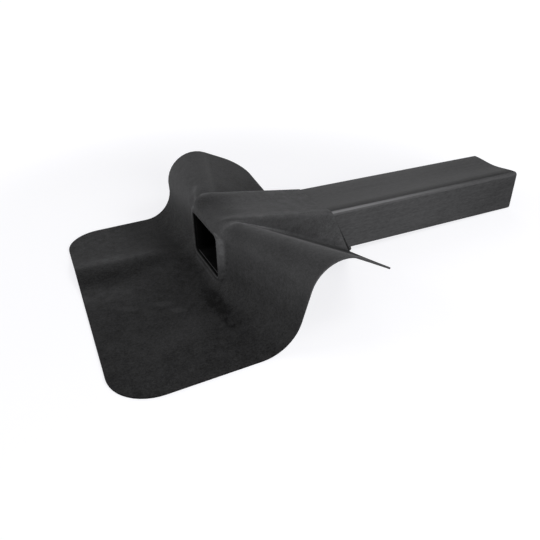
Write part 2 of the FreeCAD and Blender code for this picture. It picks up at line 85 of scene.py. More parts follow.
# Collar, in the tube's frame: x from the mouth, z from the tube's underside.
# The foot line is where each leg of the lower skin lies along that underside
COLLAR_WALL = 3
COLLAR_END_WALL = 1.2
COLLAR_EDGE = 6
COLLAR_CREST = 16
COLLAR_PEAK = 88.5
COLLAR_CURL = 10
COLLAR_TOP_END = 175
COLLAR_FOOT_END = 214
COLLAR_LIP_TOP = TUBE_HEIGHT + COLLAR_WALL
RAMP_START = 2
TROUGH_DEPTH = 12.5
TROUGH_RUN = 32
TROUGH_FLAT = 12
TROUGH_HALF = 47
FOOT_ROUND = 5
FOOT_LINE = {"rise": (9.3, 32), "curl": (32, 56), "drop": (56, COLLAR_FOOT_END)}

# Skirt: distance from the centre line at which the collar's side has run out into the wing, and its fillet
SKIRT = 61
SKIRT_FILLET = 8
FILLET_SHARE = 0.45

# Lip round the mouth and the seat of the tube behind it
LIP_DEPTH = 1.8
LIP_HALF = 49
LIP_LOW = -0.8
LIP_HIGH = 66
LIP_CORNER = 8
LIP_REACH = 0.22
LIP_UNDER = 0.5
LIP_EASE = 0.6
OPENING_INSET = 2.2
OPENING_LOW = 1.4
OPENING_HIGH = 63.6
SEAT_DEPTH = 5
SEAT_GAP = 0.15

# Smoothing of the rubber round the mouth: rounds, and distances from the lip
SOFT_ROUNDS = 40
SOFT_NEAR = (1, 6)
SOFT_FAR = (16, 34)
SOFT_ALONG = (10, 34)

# Finish of the meshes: points this near are merged, and edges past this angle stay sharp
MERGE_WITHIN = 0.02
SHARP_ANGLE = radians(40)

# Numbers of faces along and across the sheet
LEGS = {"edge": 12, "floor": 30, "bend": 10, "rise": 18, "curl": 12, "drop": 34}
TOP_COLUMNS, ROUND_COLUMNS, WALL_COLUMNS, FILLET_COLUMNS = 12, 6, 6, 7
PLAIN_COLUMNS, CORNER_COLUMNS = 30, 14
ROUNDED = TOP_COLUMNS + ROUND_COLUMNS
WALLED = ROUNDED + WALL_COLUMNS
INNER = WALLED + FILLET_COLUMNS
HALF = INNER + PLAIN_COLUMNS + CORNER_COLUMNS
RIM_STEPS = 4
LIP_STEPS = 12
BEAD_STEPS = 6


def mix(low, high, share):
    return low + (high - low) * share


def smooth(value, low, high):
    """Smooth step from 0 at low to 1 at high."""
    share = min(max((value - low) / (high - low), 0), 1)
    return share * share * (3 - 2 * share)


def bell(value, middle, width):
    """Bell curve with its top of 1 at the middle."""
    return exp(-((value - middle) / width) ** 2)


def unit(vector):
    return vector / np.linalg.norm(vector)


class Section:
    """The sheet's bent line at one station: floor, bend, rise, curl and drop, each tangent to the next."""

    def __init__(self, crest, peak, bend, curl, rise, drop, tail):
        self.bend = bend
        self.curl = curl
        self.rise = radians(rise)
        self.drop = radians(drop)
        self.crest = crest
        self.curl_z = peak - curl
        self.tail = tail
        turn = bend + curl
        climb = (peak - SHEET - turn * (1 - cos(self.rise))) / sin(self.rise)
        self.foot = crest - turn * sin(self.rise) - climb * cos(self.rise)

    def bend_point(self, share, depth):
        angle = self.rise * share
        radius = self.bend + depth
        return np.array((self.foot + radius * sin(angle), SHEET + self.bend - radius * cos(angle)))

    def curl_point(self, share, depth):
        angle = mix(self.rise, -self.drop, share)
        radius = self.curl - depth
        return np.array((self.crest - radius * sin(angle), self.curl_z + radius * cos(angle)))

    def point(self, leg, share, depth):
        if leg == "floor":
            return np.array((mix(APRON_CORNER - APRON_REACH, self.foot, share), SHEET - depth))
        if leg == "bend":
            return self.bend_point(share, depth)
        if leg == "rise":
            return mix(self.bend_point(1, depth), self.curl_point(0, depth), share)
        if leg == "curl":
            return self.curl_point(share, depth)
        start = self.curl_point(1, depth)
        end = np.array((self.tail, start[1] - (self.tail - start[0]) * tan(self.drop)))
        return mix(start, end, share)


ROOT = Section(crest=38, peak=94, bend=20, curl=18, rise=88, drop=27, tail=215)
FRONT = Section(crest=102, peak=106, bend=51, curl=45, rise=71.5, drop=31, tail=190)
BACK = Section(crest=72, peak=107, bend=47, curl=48, rise=95, drop=26, tail=190)


def wing_end(y):
    """Where a wing ends along X: at the collar's foot, then round a nook to its straight edge and corner."""
    nook = min(max(1 - (abs(y) - NOOK_START) / NOOK_WIDTH, 0), 1)
    edge = wing_edge(y)
    return edge + (NOOK_END - edge) * (1 - (1 - nook * nook) ** 0.5)


def wing_edge(y):
    """The straight edge of a wing's end and its rounded corner."""
    root, shoulder = (FRONT_ROOT_END, FRONT_SHOULDER) if y < 0 else (BACK_ROOT_END, BACK_SHOULDER)
    centre = HALF_WIDTH - WING_CORNER
    away_x = root - shoulder
    away_y = ROOT_OFFSET - centre
    touch = atan2(away_y, away_x) + acos(WING_CORNER / hypot(away_x, away_y))
    touch_y = centre + WING_CORNER * sin(touch)
    touch_x = shoulder + WING_CORNER * cos(touch)
    if abs(y) < touch_y:
        return mix(root, touch_x, (abs(y) - ROOT_OFFSET) / (touch_y - ROOT_OFFSET))
    reach = WING_CORNER ** 2 - (abs(y) - centre) ** 2
    return shoulder + max(reach, 0) ** 0.5


def ridge_offset(x, y):
    """Distance across the apron from its ridge, above 0 behind it."""
    return y - (RIDGE_START + RIDGE_SLOPE * x)


def ridge_front(x):
    """Width of the ridge's front slope: steep beside the mouth, gentle at the apron's edge."""
    return mix(*RIDGE_FRONT, smooth(-x, *RIDGE_WIDENS))


def lift(x, y):
    """How far the soft apron stands off the roof on its ridge."""
    off = ridge_offset(x, y)
    width = ridge_front(x) if off < 0 else RIDGE_BACK
    return RIDGE_HEIGHT * bell(off, 0, width) * smooth(-x, *RIDGE_RISES)


def skewed(x, y):
    """The apron lies a little askew: its front edge runs slightly off square."""
    return x + EDGE_SKEW * y * max(-x, 0) / APRON_REACH


def front_edge_point(share, y, depth):
    """A point of the apron's front end, whose outline is rounded off at its corners."""
    angle = share * pi / 2
    x = APRON_CORNER * (1 - cos(angle)) - APRON_REACH
    half = HALF_WIDTH - APRON_CORNER * (1 - sin(angle))
    if abs(y) > SKIRT:
        y = mix(SKIRT, half, (abs(y) - SKIRT) / (HALF_WIDTH - SKIRT)) * (1 if y > 0 else -1)
    return np.array((skewed(x, y), y, SHEET - depth + lift(x, y)))


def sheet_point(leg, share, y, depth):
    """A point of the sheet's skin, drawn straight from the root section to the section at the side edge."""
    if leg == "edge":
        return front_edge_point(share, y, depth)
    side = FRONT if y < 0 else BACK
    across = max((abs(y) - ROOT_OFFSET) / (HALF_WIDTH - ROOT_OFFSET), 0)
    if leg == "drop":
        start = mix(ROOT.point(leg, 0, depth), side.point(leg, 0, depth), across)
        end = mix(ROOT.point(leg, 1, depth), side.point(leg, 1, depth), across)
        share = share * (wing_end(y) - start[0]) / (end[0] - start[0])
        x, z = mix(start, end, share)
    else:
        x, z = mix(ROOT.point(leg, share, depth), side.point(leg, share, depth), across)
    if leg == "floor":
        z += lift(x, y)
    if leg == "bend":
        z += lift(x, y) * (1 - share)
    return np.array((skewed(x, y), y, z))


def from_tube(x, y, z):
    """A point given in the tube's frame, in the part's frame."""
    return np.array((
        MOUTH_X + x * cos(TUBE_FALL) + z * sin(TUBE_FALL),
        y,
        MOUTH_Z - x * sin(TUBE_FALL) + z * cos(TUBE_FALL)))


def to_tube(point):
    """A point given in the part's frame, in the tube's frame."""
    x = point[0] - MOUTH_X
    z = point[2] - MOUTH_Z
    return np.array((
        x * cos(TUBE_FALL) - z * sin(TUBE_FALL),
        point[1],
        x * sin(TUBE_FALL) + z * cos(TUBE_FALL)))


def on_outline(y, z, half, low, high, radius):
    """The nearest place on a rounded rectangle."""
    core_y = min(max(y, radius - half), half - radius)
    core_z = min(max(z, low + radius), high - radius)
    away_y = y - core_y
    away_z = z - core_z
    length = hypot(away_y, away_z)
    return core_y + away_y * radius / length, core_z + away_z * radius / length


def tube_outline(y, z):
    """The nearest place on the tube's outside, with its bowed top, a small gap away."""
    y, z = on_outline(y, z, TUBE_WIDTH / 2 + SEAT_GAP, -SEAT_GAP, TUBE_HEIGHT + SEAT_GAP, TUBE_CORNER)
    if z > TUBE_HEIGHT / 2:
        z -= TUBE_SAG * (1 - smooth(abs(y), 0, TUBE_WIDTH / 2 - TUBE_CORNER))
    return y, z


def make_rows():
    """The sheet's lines from the apron's front edge to the wings' ends, each a leg and a share of it."""
    rows = [("edge", 0)]
    for leg, count in LEGS.items():
        rows += [(leg, step / count) for step in range(1, count + 1)]
    return rows


ROWS = make_rows()
MOUTH_FOOT = ROWS.index(("bend", 1))
MOUTH_HEAD = ROWS.index(("rise", 1))
LAST = len(ROWS) - 1


def outer_width(column):
    """Distance from the centre line of a column outside the skirt: even, then closer at a wing's corner."""
    step = column - INNER
    start = HALF_WIDTH - WING_CORNER
    if step <= PLAIN_COLUMNS:
        return mix(SKIRT, start, step / PLAIN_COLUMNS)
    return start + WING_CORNER * sin((step - PLAIN_COLUMNS) / CORNER_COLUMNS * pi / 2)


def collar_spine(leg, share):
    """The collar's upper line in the tube's frame: up a ramp, over the crest, then down the taper."""
    centre_z = COLLAR_PEAK - COLLAR_CURL
    rise = centre_z - COLLAR_LIP_TOP
    ramp = atan2(rise, COLLAR_CREST) + asin(COLLAR_CURL / hypot(COLLAR_CREST, rise))
    end_z = TUBE_HEIGHT + COLLAR_END_WALL
    run = COLLAR_TOP_END - COLLAR_CREST
    fall = centre_z - end_z
    taper = atan2(fall, run) + asin(COLLAR_CURL / hypot(run, fall))
    if leg == "drop":
        taper_x = COLLAR_CREST + COLLAR_CURL * sin(taper)
        taper_z = centre_z + COLLAR_CURL * cos(taper)
        return mix(taper_x, COLLAR_TOP_END, share), mix(taper_z, end_z, share)
    straight = (COLLAR_CREST - COLLAR_CURL * sin(ramp) - RAMP_START) / cos(ramp)
    length = straight + COLLAR_CURL * (ramp + taper)
    way = share * length if leg == "curl" else 0
    if way < straight:
        x = RAMP_START + way * cos(ramp)
        return x, COLLAR_LIP_TOP + x * tan(ramp)
    angle = ramp - (way - straight) / COLLAR_CURL
    return COLLAR_CREST - COLLAR_CURL * sin(angle), centre_z + COLLAR_CURL * cos(angle)


def trough_depth(along):
    """How far the collar's top dips between its two humps: most behind the mouth, least at the tube."""
    fade = bell(max(along - COLLAR_CREST, 0), 0, TROUGH_RUN)
    return TUBE_SAG + (TROUGH_DEPTH - TUBE_SAG) * smooth(along, 0, COLLAR_CREST) * fade


def skirt_point(column, half, top_round, top, bottom_round, height, base_at):
    """A point of the collar's side: round its long edge, down its wall and out into the wing by a fillet."""
    if column <= ROUNDED:
        angle = (column - TOP_COLUMNS) / ROUND_COLUMNS * pi / 2
        y = half - top_round * (1 - sin(angle))
        level = height - top_round * (1 - cos(angle))
    elif column <= WALLED:
        y = half
        level = mix(height - top_round, bottom_round, (column - ROUNDED) / WALL_COLUMNS)
    else:
        angle = (column - WALLED) / FILLET_COLUMNS * pi / 2
        y = half + (SKIRT - half) * (1 - cos(angle))
        level = bottom_round * (1 - sin(angle))
    x, y, z = base_at(y)
    share = level / height
    return np.array((mix(x, top[0], share), y, mix(z, top[2], share)))


def collar_half(leg, share):
    """Half the collar's width, thinner towards its end."""
    return TUBE_WIDTH / 2 + (mix(COLLAR_WALL, COLLAR_END_WALL, share) if leg == "drop" else COLLAR_WALL)


def plain_point(row, column, depth, reach):
    """A point of one skin of the sheet beside or in front of the collar, or nothing elsewhere."""
    leg, share = ROWS[row]
    side = 1 if column > 0 else -1
    column = abs(column)
    if column >= INNER:
        return sheet_point(leg, share, side * outer_width(column), depth)
    if row > MOUTH_FOOT:
        return None
    y = SKIRT * column / INNER
    if leg == "bend":
        share = share * mix(reach, 1, smooth(y, LIP_HALF - LIP_CORNER, SKIRT))
    return sheet_point(leg, share, side * y, depth)


def upper_point(row, column):
    """A point of the flange's upper skin, or nothing inside the mouth."""
    point = plain_point(row, column, 0, LIP_REACH)
    if point is not None or row < MOUTH_HEAD:
        return point
    leg, share = ROWS[row]
    side = 1 if column > 0 else -1
    column = abs(column)
    near_end = share if leg == "drop" else 0
    half = collar_half(leg, share)
    along, top_z = collar_spine(leg, share)
    top = from_tube(along, 0, top_z)
    base = sheet_point(leg, share, side * SKIRT, 0)
    height = np.linalg.norm((top - base)[[0, 2]])
    edge_round = mix(COLLAR_EDGE, TUBE_CORNER + COLLAR_END_WALL, near_end)
    top_round = min(edge_round, height / 2)
    if column <= TOP_COLUMNS:
        y = (half - top_round) * column / TOP_COLUMNS
        flat = mix(TROUGH_FLAT, 0, near_end)
        brow = mix(TROUGH_HALF, TUBE_WIDTH / 2 - TUBE_CORNER, near_end)
        trough = trough_depth(along) * (1 - smooth(y, flat, brow))
        return from_tube(along, side * y, top_z - trough)

    def base_at(y):
        return sheet_point(leg, share, side * y, 0)

    fillet = min(SKIRT_FILLET, height * FILLET_SHARE)
    return skirt_point(column, half, top_round, top, fillet, height, base_at)


def lower_point(row, column):
    """A point of the flange's lower skin, which runs in under the wings and round the collar's underside."""
    point = plain_point(row, column, SHEET, LIP_UNDER)
    if point is not None:
        return point
    leg, share = ROWS[row]
    side = 1 if column > 0 else -1
    column = abs(column)
    half = collar_half(leg, share)
    wall = half - TUBE_WIDTH / 2
    along = mix(*FOOT_LINE[leg], share)
    foot = from_tube(along, 0, -wall)
    base = sheet_point(leg, share, side * SKIRT, SHEET)
    height = np.linalg.norm((foot - base)[[0, 2]])
    foot_round = min(FOOT_ROUND, height / 2)
    if column <= TOP_COLUMNS:
        return from_tube(along, side * (half - foot_round) * column / TOP_COLUMNS, -wall)

    def base_at(y):
        return sheet_point(leg, share, side * y, SHEET)

    fillet = min(SKIRT_FILLET, height * FILLET_SHARE)
    return skirt_point(column, half, foot_round, foot, fillet, height, base_at)


# Light and shade painted into the rubber's upper skin at each point: above 0 it is painted paler, below 0
# darker.
# Apron: painted light and shade in bands across its ridge and runs towards its front edge; the painted shade
# band is in widths of the slope
CREASE_PAINTED_LIGHT, CREASE_BAND, CREASE_RUN = 0.5, (12, 12), (-5, 60)
CREASE_PAINTED_SHADE, DARK_PLACE, DARK_WIDTH, DARK_RUN = -0.25, -0.85, 0.7, (20, 90)
BEHIND_PAINTED_LIGHT, BEHIND_BAND, BEHIND_RUN = 0.4, (0, 15), (45, 105)
BEFORE_PAINTED_LIGHT, BEFORE_BAND, BEFORE_RUN = 0.45, (-70, 20), (60, 150)

# Front wing: painted light and shade in bands and runs along each leg, as shares of it, and one band across;
# then painted shade on the sheet's rim
CREST_PAINTED_HIGHLIGHT, CREST_BAND = 1.4, (1, 0.3)
UNDER_PAINTED_SHADE, UNDER_BAND = -0.27, (0.35, 0.2)
DROP_PAINTED_LIGHT, DROP_LINE, DROP_BAND = 2.1, (1, 0.1), (0, 0.3)
VALLEY_PAINTED_LIGHT, VALLEY_RUN, VALLEY_ACROSS = 0.2, (0, 0.1), (SKIRT - 4, 10)
FOOT_PAINTED_LIGHT, FOOT_RUN = 0.8, (0.4, 0.9)
RIM_PAINTED_SHADE = -0.3

# Back wing: painted light on its top, painted shade on its drop, a slanting painted highlight along a fold
# and painted shade in a corner at the mouth's head
BACK_TOP_PAINTED_LIGHT, BACK_TOP_COMES, BACK_TOP_GOES = 0.25, (0.4, 1), (0.5, 0.9)
BACK_DROP_PAINTED_SHADE, BACK_DROP_COMES = -0.45, (0, 0.1)
FOLD_PAINTED_HIGHLIGHT, FOLD_SLOPE, FOLD_START, FOLD_WIDTH = 1.0, 92, 0.2, 8
FOLD_COMES, FOLD_GOES = (0, 0.2), (0.4, 0.65)
CORNER_PAINTED_SHADE, CORNER_ACROSS, CORNER_GOES = -0.6, (SKIRT - 7, 6), (0.7, 1)

# Collar: painted light and shade in bands across it in columns, runs along it as shares of a leg
FRONT_HUMP_PAINTED_HIGHLIGHT, FRONT_HUMP_BAND = 0.7, (TOP_COLUMNS - 1, 1.8)
BACK_HUMP_PAINTED_HIGHLIGHT, BACK_HUMP_BAND = 1.4, (TOP_COLUMNS + 1, 1.8)
SHOULDER_PAINTED_SHADE, SHOULDER_BAND = -0.45, (TOP_COLUMNS + 4, 3)
HUMP_COMES, HUMP_LOSS = (0.4, 1), 0.7
TROUGH_PAINTED_SHADE, TROUGH_BAND = -0.6, (TOP_COLUMNS - 4, 4)
TROUGH_COMES, TROUGH_GOES = (0, 0.3), (0.25, 0.65)
HEAD_BAND = (ROUNDED, 5)
TAPER_PAINTED_LIGHT, TAPER_COMES, TAPER_LOSS = 0.85, (0, 0.3), 0.3

# Lip: painted light on the cheeks by distance from the centre line and by level; a painted highlight and a
# painted shadow line under the mouth by share of the roll
BEAD_PAINTED_HIGHLIGHT = 0.5
CHEEK_PAINTED_LIGHT, CHEEK_SIDE, CHEEK_ROLL = 1.1, (40, 47), (0, 0.35)
CHEEK_FOOT, CHEEK_RISE = 0.3, (12, 40)
BACK_CHEEK_PAINTED_LIGHT, BACK_CHEEK_SIDE, BACK_CHEEK_RISE = 0.8, (38, 47), (40, 60)
SILL_LEVEL = (1, 6)
SILL_PAINTED_HIGHLIGHT, SILL_LIGHT_BAND = 0.25, (0.5, 0.25)
SILL_PAINTED_SHADOW, SILL_DARK_BAND = -0.4, (0.9, 0.1)


def skin_painted_shading(row, column, point):
    """How much light or shade is painted into the rubber at a point of the upper skin."""
    leg, share = ROWS[row]
    x, y = point[:2]
    if leg in ("edge", "floor"):
        return apron_painted_shading(x, y)
    if abs(column) >= WALLED:
        return front_wing_painted_shading(leg, share, y) if y < 0 else back_wing_painted_shading(leg, share, y)
    if leg == "curl":
        return ramp_painted_shading(share, column)
    if leg == "drop":
        return taper_painted_shading(share, column)
    return 0


def apron_painted_shading(x, y):
    """Painted light and shade of the apron: painted light on the ridge and behind it, painted shade at its
    front foot, painted light again before that.
    """
    off = ridge_offset(x, y)
    front = ridge_front(x)
    crest = CREASE_PAINTED_LIGHT * bell(off, *CREASE_BAND) * smooth(-x, *CREASE_RUN)
    behind = BEHIND_PAINTED_LIGHT * smooth(off, *BEHIND_BAND) * smooth(-x, *BEHIND_RUN)
    dark = CREASE_PAINTED_SHADE * bell(off, DARK_PLACE * front, DARK_WIDTH * front) * smooth(-x, *DARK_RUN)
    before = BEFORE_PAINTED_LIGHT * bell(off, *BEFORE_BAND) * smooth(-x, *BEFORE_RUN)
    return crest + behind + dark + before


def front_wing_painted_shading(leg, share, y):
    """Painted light and shade of the front wing: a painted highlight along its crest and the start of its
    drop, a painted shade band below the crest, and painted light in the shaded valley beside the collar.
    """
    if leg == "curl":
        crest = CREST_PAINTED_HIGHLIGHT * bell(share, *CREST_BAND) + (DROP_PAINTED_LIGHT - CREST_PAINTED_HIGHLIGHT) * bell(share, *DROP_LINE)
        return crest + UNDER_PAINTED_SHADE * bell(share, *UNDER_BAND)
    if leg == "drop":
        valley = mix(VALLEY_PAINTED_LIGHT * smooth(share, *VALLEY_RUN), FOOT_PAINTED_LIGHT, smooth(share, *FOOT_RUN))
        return DROP_PAINTED_LIGHT * bell(share, *DROP_BAND) + valley * bell(abs(y), *VALLEY_ACROSS)
    return 0


def back_wing_painted_shading(leg, share, y):
    """Painted light and shade of the back wing: painted light on its top with a stronger painted highlight
    on a fold beside the mouth, painted shade in a corner there, and painted shade on its drop.
    """
    if leg == "bend":
        return 0
    if leg == "rise":
        return BACK_TOP_PAINTED_LIGHT * smooth(share, *BACK_TOP_COMES)
    if leg == "drop":
        return BACK_DROP_PAINTED_SHADE * smooth(share, *BACK_DROP_COMES)
    middle = SKIRT + FOLD_SLOPE * (share - FOLD_START)
    fold = FOLD_PAINTED_HIGHLIGHT * bell(y, middle, FOLD_WIDTH) * (1 - smooth(share, *FOLD_GOES))
    corner = CORNER_PAINTED_SHADE * bell(y, *CORNER_ACROSS) * (1 - smooth(share, *CORNER_GOES))
    top = BACK_TOP_PAINTED_LIGHT * (1 - smooth(share, *BACK_TOP_GOES))
    return top + fold * smooth(share, *FOLD_COMES) + corner


def hump_painted_shading(column, fade):
    """Painted light and shade of the collar's two humps: a painted highlight on each, with painted shade on
    a shoulder outside the front one.
    """
    if column > 0:
        return BACK_HUMP_PAINTED_HIGHLIGHT * fade * bell(column, *BACK_HUMP_BAND)
    pale = FRONT_HUMP_PAINTED_HIGHLIGHT * fade * bell(-column, *FRONT_HUMP_BAND)
    return pale + SHOULDER_PAINTED_SHADE * fade * bell(-column, *SHOULDER_BAND)


def ramp_painted_shading(share, column):
    """Painted light and shade of the collar's ramp: the painted highlights of its humps come in, with
    painted shade in the trough and in a corner at the back hump.
    """
    humps = hump_painted_shading(column, smooth(share, *HUMP_COMES))
    dark = TROUGH_PAINTED_SHADE * smooth(share, *TROUGH_COMES) * bell(column, *TROUGH_BAND)
    corner = CORNER_PAINTED_SHADE * bell(column, *HEAD_BAND)
    return humps + dark + corner * (1 - smooth(share, *CORNER_GOES))


def taper_painted_shading(share, column):
    """Painted light and shade of the collar's taper: painted light on its top, and on the shaded foot of its
    front side.
    """
    humps = hump_painted_shading(column, 1 - HUMP_LOSS * share)
    dark = TROUGH_PAINTED_SHADE * (1 - smooth(share, *TROUGH_GOES)) * bell(column, *TROUGH_BAND)
    level = TAPER_PAINTED_LIGHT * smooth(share, *TAPER_COMES) * (1 - TAPER_LOSS * share)
    top = (1 - smooth(abs(column), TOP_COLUMNS, ROUNDED)) * level
    foot = FOOT_PAINTED_LIGHT * smooth(-column, ROUNDED, WALLED) * smooth(share, *FOOT_RUN)
    return humps + dark + top + foot


def lip_painted_shading(step, point):
    """Painted light and shade of the lip: painted light on the cheeks, a painted highlight on the bead, and
    a painted highlight and a painted shadow line under the mouth.
    """
    if step >= LIP_STEPS:
        return BEAD_PAINTED_HIGHLIGHT
    _, y, z = to_tube(point)
    share = step / LIP_STEPS
    front = CHEEK_PAINTED_LIGHT * smooth(-y, *CHEEK_SIDE) * smooth(share, *CHEEK_ROLL)
    front *= mix(CHEEK_FOOT, 1, smooth(z, *CHEEK_RISE))
    back = BACK_CHEEK_PAINTED_LIGHT * smooth(y, *BACK_CHEEK_SIDE) * smooth(z, *BACK_CHEEK_RISE)
    sill = SILL_PAINTED_HIGHLIGHT * bell(share, *SILL_LIGHT_BAND) + SILL_PAINTED_SHADOW * bell(share, *SILL_DARK_BAND)
    return front + back + (1 - smooth(z, *SILL_LEVEL)) * sill


class Shell:
    """Points and faces of one mesh, with marks on its points and the light or shade painted at each."""

    def __init__(self):
        self.points = []
        self.wear = []
        self.faces = []
        self.bore = set()
        self.loose = set()

    def add(self, point, mark=None, wear=0):
        self.points.append(tuple(float(value) * MM for value in point))
        self.wear.append(wear)
        index = len(self.points) - 1
        if mark is not None:
            mark.add(index)
        return index

    def strip(self, first, second):
        """Faces between two lines of as many points."""
        for step in range(len(first) - 1):
            self.faces.append((first[step], first[step + 1], second[step + 1], second[step]))

    def ring(self, first, second):
        """Faces between two closed lines of as many points."""
        self.strip(first + first[:1], second + second[:1])


def mouth_loop():
    """The places round the mouth where the sheet stops, each with the next place away from the mouth."""
    loop = [(MOUTH_FOOT, column, MOUTH_FOOT - 1, column) for column in range(-INNER, INNER)]
    loop += [(row, INNER, row, INNER + 1) for row in range(MOUTH_FOOT, MOUTH_HEAD)]
    loop += [(MOUTH_HEAD, column, MOUTH_HEAD + 1, column) for column in range(INNER, -INNER, -1)]
    return loop + [(row, -INNER, row, -INNER - 1) for row in range(MOUTH_HEAD, MOUTH_FOOT, -1)]


def roll_point(pulls, share):
    """A point of a smooth curve from the first to the last of four points, drawn by the two between."""
    rest = 1 - share
    weights = (rest ** 3, 3 * share * rest ** 2, 3 * share * share * rest, share ** 3)
    return sum(weight * pull for weight, pull in zip(weights, pulls))


def lip_profile(row, column, outer_row, outer_column):
    """The lip's line from one place at the sheet's edge: up to the mouth, round the bead, into the seat."""
    start = upper_point(row, column)
    heading = unit(start - upper_point(outer_row, outer_column))
    y, z = to_tube(start)[1:]
    front_y, front_z = on_outline(y, z, LIP_HALF, LIP_LOW, LIP_HIGH, LIP_CORNER)
    within_y, within_z = on_outline(y, z, LIP_HALF - 1, LIP_LOW + 1, LIP_HIGH - 1, LIP_CORNER - 1)
    goal = from_tube(0, front_y, front_z)
    inward = from_tube(0, within_y, within_z) - goal
    pull = np.linalg.norm(goal - start) * LIP_EASE
    pulls = (start, start + heading * pull, goal - inward * pull, goal)
    profile = [roll_point(pulls, step / LIP_STEPS) for step in range(1, LIP_STEPS + 1)]
    edge_y = front_y * (1 - OPENING_INSET / LIP_HALF)
    edge_z = mix(OPENING_LOW, OPENING_HIGH, (front_z - LIP_LOW) / (LIP_HIGH - LIP_LOW))
    for step in range(1, BEAD_STEPS + 1):
        angle = step / BEAD_STEPS * pi / 2
        bead_y = mix(front_y, edge_y, sin(angle))
        bead_z = mix(front_z, edge_z, sin(angle))
        profile.append(from_tube(LIP_DEPTH * (1 - cos(angle)), bead_y, bead_z))
    profile.append(from_tube(SEAT_DEPTH, edge_y, edge_z))
    profile.append(from_tube(SEAT_DEPTH, *tube_outline(y, z)))
    return profile


def lip_mark(shell, step):
    """The mark of the lip's points at a step: soft up to the mouth, then none, and from the opening on the
    bore, which takes the bore's painted shade.
    """
    if step < LIP_STEPS:
        return shell.loose
    if step < LIP_STEPS + BEAD_STEPS - 1:
        return None
    return shell.bore


def add_lip(shell, upper):
    """The mouth's lip, from the sheet over its bead into the seat. Returns the seat's front loop."""
    places = mouth_loop()
    profiles = [lip_profile(*place) for place in places]
    ring = [upper[row, column] for row, column, _, _ in places]
    for step in range(len(profiles[0])):
        mark = lip_mark(shell, step)
        points = [profile[step] for profile in profiles]
        inner = [shell.add(point, mark, lip_painted_shading(step, point)) for point in points]
        shell.ring(ring, inner)
        ring = inner
    return ring


def add_rim(shell, upper, lower, edge):
    """The sheet's rounded edge along a line of places. Returns its lines of points from skin to skin."""
    tops = [upper_point(*place) for place in edge]
    bottoms = [lower_point(*place) for place in edge]
    lines = [[upper[place] for place in edge]]
    for step in range(1, RIM_STEPS):
        share = step / RIM_STEPS
        line = []
        for index, (top, bottom) in enumerate(zip(tops, bottoms)):
            along = tops[min(index + 1, len(tops) - 1)] - tops[max(index - 1, 0)]
            outward = unit(np.cross(top - bottom, along))
            free = 1 if top[0] < 0 else smooth(abs(top[1]), *BULGE_FROM)
            bulge = EDGE_BULGE * free * sin(pi * share)
            place = mix(top, bottom, (1 - cos(pi * share)) / 2) + outward * bulge
            # Painted shade along the sheet's rounded edge
            line.append(shell.add(place, wear=RIM_PAINTED_SHADE))
        lines.append(line)
    lines.append([lower[place] for place in edge])
    for first, second in zip(lines, lines[1:]):
        shell.strip(first, second)
    return lines


def add_skins(shell):
    """The upper skin, open at the mouth, and the lower skin. Returns their points by row and column."""
    columns = range(-HALF, HALF + 1)
    upper = {}
    lower = {}
    for row in range(LAST + 1):
        for column in columns:
            point = upper_point(row, column)
            if point is not None:
                upper[row, column] = shell.add(point, shell.loose, skin_painted_shading(row, column, point))
            lower[row, column] = shell.add(lower_point(row, column))
    for skin in (upper, lower):
        for row in range(LAST):
            for column in columns[:-1]:
                hole = MOUTH_FOOT <= row < MOUTH_HEAD and -INNER <= column < INNER
                if not (hole and skin is upper):
                    shell.faces.append((skin[row, column], skin[row, column + 1],
                                        skin[row + 1, column + 1], skin[row + 1, column]))
    return upper, lower


def free_edge():
    """The places along the sheet's free edge, from the collar's front side round to its back side."""
    edge = [(LAST, -column) for column in range(ROUNDED, HALF)]
    edge += [(row, -HALF) for row in range(LAST, 0, -1)]
    edge += [(0, column) for column in range(-HALF, HALF)]
    edge += [(row, HALF) for row in range(LAST)]
    return edge + [(LAST, column) for column in range(HALF, ROUNDED - 1, -1)]


def add_collar_end(shell, upper, lower, rim):
    """The collar's thin end, from its outline in to the tube. Returns the loop at the tube."""
    front = [line[0] for line in rim]
    back = [line[-1] for line in rim]
    loop = [upper[LAST, column] for column in range(-ROUNDED, ROUNDED)] + back[:-1]
    loop += [lower[LAST, column] for column in range(ROUNDED, -ROUNDED, -1)] + front[:0:-1]
    end = []
    for index in loop:
        x, y, z = to_tube(np.array(shell.points[index]) / MM)
        # The end face takes the same painted light as the shaded foot of the collar's front side
        end.append(shell.add(from_tube(x, *tube_outline(y, z)), wear=FOOT_PAINTED_LIGHT))
    shell.ring(loop, end)
    return end


def make_flange():
    """The whole flange as one closed mesh: both skins, edges, lip and the seat of the tube."""
    shell = Shell()
    upper, lower = add_skins(shell)
    seat = add_lip(shell, upper)
    rim = add_rim(shell, upper, lower, free_edge())
    end = add_collar_end(shell, upper, lower, rim)
    return close_mesh(shell, seat, end)


def softness(point):
    """How far the rubber round the mouth is drawn smooth at a point: not at the lip or far from it."""
    x, y, z = to_tube(np.array(point) / MM)
    away_y = max(abs(y) - LIP_HALF, 0)
    away_z = max(z - LIP_HIGH, LIP_LOW - z, 0)
    away = hypot(away_y, away_z)
    far = 1 - smooth(away, *SOFT_FAR)
    return smooth(away, *SOFT_NEAR) * far * (1 - smooth(x, *SOFT_ALONG))


def soften(verts, loose):
    """Draws the marked points towards their neighbours, as soft rubber evens out a fold."""
    moved = []
    for index in sorted(loose):
        vert = verts[index]
        share = softness(vert.co)
        if share > 0:
            moved.append((vert, share, [edge.other_vert(vert) for edge in vert.link_edges]))
    for _ in range(SOFT_ROUNDS):
        goals = [sum((near.co for near in nearby), Vector()) / len(nearby) for _, _, nearby in moved]
        for (vert, share, _), goal in zip(moved, goals):
            vert.co = vert.co.lerp(goal, share / 2)


